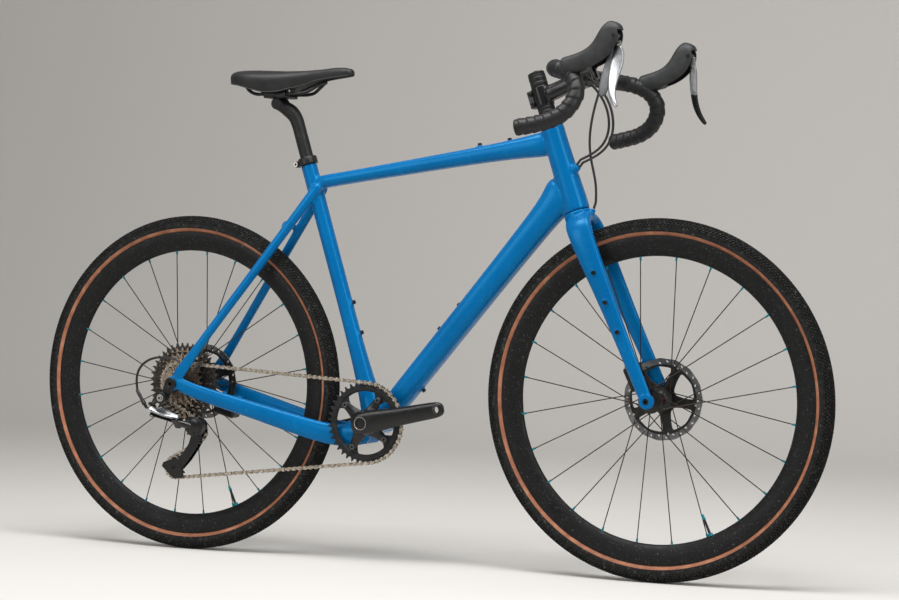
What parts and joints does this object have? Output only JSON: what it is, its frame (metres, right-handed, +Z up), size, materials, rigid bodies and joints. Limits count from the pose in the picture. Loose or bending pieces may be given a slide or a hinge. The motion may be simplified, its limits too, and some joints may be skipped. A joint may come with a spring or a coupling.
{
  "type": "road bike",
  "caption": "Gravel bike with a drop bar, knobbed tyres, disc brakes, a chain drive with rear derailleur, and jointed steering, wheels, cranks, levers and saddle.",
  "frame": {"origin": "On the ground, midway between the two axles, in the bike's middle plane.", "axes": "+X is forward along the bike, +Y is the rider's left and +Z is up. The drive side with the chain faces -Y."},
  "size_m": [1.734, 0.5472, 1.0622],
  "materials": {
    "blue_paint": "satin blue paint on moulded carbon fibre",
    "tyre_rubber": "black knobbed rubber with a tan sidewall band",
    "rim_black": "matte moulded carbon fibre",
    "matte_carbon": "matte moulded carbon fibre",
    "hub_black": "black anodised hub with black spokes",
    "black_metal": "black anodised alloy",
    "gloss_black": "glossy black",
    "rotor_steel": "ground stainless steel",
    "chain_steel": "bronze-silver plated steel",
    "lever_grey": "silver-grey anodised alloy",
    "bar_tape": "black cork-like tape",
    "hood_rubber": "ribbed black rubber",
    "saddle_black": "matte black cover",
    "hose_black": "smooth black hose"
  },
  "bodies": {
    "frame": {"frame": "blue_paint", "seat_clamp": "black_metal", "headset_cover": "matte_carbon", "bottom_bracket_cup_right": "black_metal", "bottom_bracket_cup_left": "black_metal", "derailleur_hanger": "black_metal", "rear_thru_axle": "black_metal", "rear_caliper": "black_metal", "rear_brake_hose": "hose_black", "shift_housing": "hose_black", "derailleur_housing": "hose_black", "derailleur_knuckle": "gloss_black", "chain": "chain_steel"},
    "steering": {"fork": "blue_paint", "lower_spacers": "matte_carbon", "stem": "gloss_black", "stem_faceplate": "gloss_black", "upper_spacer": "matte_carbon", "top_cap": "matte_carbon", "handlebar": "matte_carbon", "bar_tape_right": "bar_tape", "bar_tape_left": "bar_tape", "bar_plug_right": "matte_carbon", "bar_plug_left": "matte_carbon", "hood_right": "hood_rubber", "hood_left": "hood_rubber", "front_caliper": "black_metal", "front_brake_hose": "hose_black", "front_thru_axle": "black_metal"},
    "front_wheel": {"front_tyre": "tyre_rubber", "front_rim": "rim_black", "front_hub_and_spokes": "hub_black", "front_rotor": "rotor_steel"},
    "rear_wheel": {"rear_tyre": "tyre_rubber", "rear_rim": "rim_black", "rear_hub_and_spokes": "hub_black", "rear_rotor": "rotor_steel"},
    "cassette": {"cassette": "chain_steel"},
    "crank": {"crank_right": "gloss_black", "crank_left": "gloss_black", "chainring": "black_metal"},
    "left_lever": {"brake_lever_left": "lever_grey"},
    "right_bracket": {"lever_bracket_right": "gloss_black"},
    "right_lever": {"brake_lever_right": "lever_grey"},
    "shift_paddle": {"shift_paddle_right": "black_metal"},
    "front_pad_inner": {"front_pad_inner": "rotor_steel"},
    "front_pad_outer": {"front_pad_outer": "rotor_steel"},
    "rear_pad_inner": {"rear_pad_inner": "rotor_steel"},
    "rear_pad_outer": {"rear_pad_outer": "rotor_steel"},
    "outer_link": {"derailleur_outer_link": "lever_grey"},
    "inner_link": {"derailleur_inner_link": "black_metal"},
    "cage_knuckle": {"derailleur_cage_knuckle": "gloss_black"},
    "cage": {"derailleur_cage": "black_metal"},
    "guide_pulley": {"guide_pulley": "matte_carbon"},
    "tension_pulley": {"tension_pulley": "matte_carbon"},
    "post": {"seatpost": "matte_carbon"},
    "clamp": {"saddle_clamp": "black_metal"},
    "saddle": {"saddle_rails": "black_metal", "saddle_shell": "saddle_black", "saddle_cover": "saddle_black"}
  },
  "joints": [
    {"name": "steering", "type": "hinge", "parent": "frame", "child": "steering", "pos_m": [0.34836, 0, 0.71221], "axis": [-0.3173, 0, 0.9483], "range_deg": [-60, 60], "deforming": ["rear_brake_hose", "shift_housing"]},
    {"name": "front_wheel_spin", "type": "hinge", "parent": "steering", "child": "front_wheel", "pos_m": [0.517, 0, 0.35], "axis": [0, 1, 0], "continuous": true},
    {"name": "rear_wheel_spin", "type": "hinge", "parent": "frame", "child": "rear_wheel", "pos_m": [-0.517, 0, 0.35], "axis": [0, 1, 0], "continuous": true},
    {"name": "crank_spin", "type": "hinge", "parent": "frame", "child": "crank", "pos_m": [-0.08082, 0, 0.285], "axis": [0, 1, 0], "continuous": true, "deforming": ["chain"]},
    {"name": "cassette_spin", "type": "hinge", "parent": "frame", "child": "cassette", "pos_m": [-0.517, 0, 0.35], "axis": [0, 1, 0], "continuous": true},
    {"name": "guide_pulley_spin", "type": "hinge", "parent": "cage", "child": "guide_pulley", "pos_m": [-0.47461, -0.0435, 0.25178], "axis": [0, 1, 0], "continuous": true},
    {"name": "tension_pulley_spin", "type": "hinge", "parent": "cage", "child": "tension_pulley", "pos_m": [-0.52568, -0.0435, 0.17378], "axis": [0, 1, 0], "continuous": true},
    {"name": "left_brake_lever", "type": "hinge", "parent": "steering", "child": "left_lever", "pos_m": [0.50381, 0.215, 1.02836], "axis": [0, 1, 0], "range_deg": [0, 25], "stiffness_Nm_per_rad": 1.2, "springref_deg": -8.59},
    {"name": "right_brake_lever", "type": "hinge", "parent": "steering", "child": "right_bracket", "pos_m": [0.50381, -0.215, 1.02836], "axis": [0, 1, 0], "range_deg": [0, 18], "stiffness_Nm_per_rad": 1.2, "springref_deg": -8.59},
    {"name": "right_blade_swing", "type": "hinge", "parent": "right_bracket", "child": "right_lever", "pos_m": [0.50381, -0.215, 1.01436], "axis": [1, 0, 0], "range_deg": [0, 12], "stiffness_Nm_per_rad": 0.5, "springref_deg": -8.59},
    {"name": "shift_paddle_swing", "type": "hinge", "parent": "right_bracket", "child": "shift_paddle", "pos_m": [0.50381, -0.215, 1.01436], "axis": [1, 0, 0], "range_deg": [0, 12], "stiffness_Nm_per_rad": 0.3, "springref_deg": -8.59},
    {"name": "front_pad_inner_slide", "type": "slide", "parent": "steering", "child": "front_pad_inner", "axis": [0, 1, 0], "range_m": [0, 0.00036]},
    {"name": "front_pad_outer_slide", "type": "slide", "parent": "steering", "child": "front_pad_outer", "axis": [0, -1, 0], "range_m": [0, 0.00036]},
    {"name": "rear_pad_inner_slide", "type": "slide", "parent": "frame", "child": "rear_pad_inner", "axis": [0, 1, 0], "range_m": [0, 0.00026]},
    {"name": "rear_pad_outer_slide", "type": "slide", "parent": "frame", "child": "rear_pad_outer", "axis": [0, -1, 0], "range_m": [0, 0.00026]},
    {"name": "outer_link_swing", "type": "hinge", "parent": "frame", "child": "outer_link", "pos_m": [-0.562, -0.087, 0.297], "axis": [0, 0.7071, 0.7071], "range_deg": [-26, 33]},
    {"name": "inner_link_swing", "type": "hinge", "parent": "frame", "child": "inner_link", "pos_m": [-0.562, -0.0771, 0.2871], "axis": [0, 0.7071, 0.7071], "range_deg": [-26, 33]},
    {"name": "cage_knuckle_swing", "type": "hinge", "parent": "outer_link", "child": "cage_knuckle", "pos_m": [-0.50702, -0.07001, 0.28001], "axis": [0, 0.7071, 0.7071], "range_deg": [-33, 26]},
    {"name": "cage_swing", "type": "hinge", "parent": "cage_knuckle", "child": "cage", "pos_m": [-0.469, -0.0435, 0.262], "axis": [0, 1, 0], "range_deg": [-25, 25], "stiffness_Nm_per_rad": 0.6},
    {"name": "seatpost_slide", "type": "slide", "parent": "frame", "child": "post", "axis": [-0.2957, 0, 0.9553], "range_m": [-0.06, 0.03]},
    {"name": "saddle_tilt", "type": "hinge", "parent": "post", "child": "clamp", "pos_m": [-0.30998, 0, 0.93163], "axis": [0, 1, 0], "range_deg": [-8, 8]},
    {"name": "saddle_fore_aft", "type": "slide", "parent": "clamp", "child": "saddle", "axis": [1, 0, 0], "range_m": [-0.012, 0.012]}
  ],
  "couplings": [
    {"joint": "cassette_spin", "follows": "crank_spin", "ratio": 1.9048},
    {"joint": "guide_pulley_spin", "follows": "crank_spin", "ratio": -3.6364},
    {"joint": "tension_pulley_spin", "follows": "crank_spin", "ratio": 3.6364},
    {"joint": "front_pad_inner_slide", "follows": "left_brake_lever", "m_per_rad": 0.000802},
    {"joint": "front_pad_outer_slide", "follows": "left_brake_lever", "m_per_rad": 0.000802},
    {"joint": "rear_pad_inner_slide", "follows": "right_brake_lever", "m_per_rad": 0.000802},
    {"joint": "rear_pad_outer_slide", "follows": "right_brake_lever", "m_per_rad": 0.000802},
    {"joint": "inner_link_swing", "follows": "outer_link_swing", "ratio": 1},
    {"joint": "cage_knuckle_swing", "follows": "outer_link_swing", "ratio": -1}
  ]
}
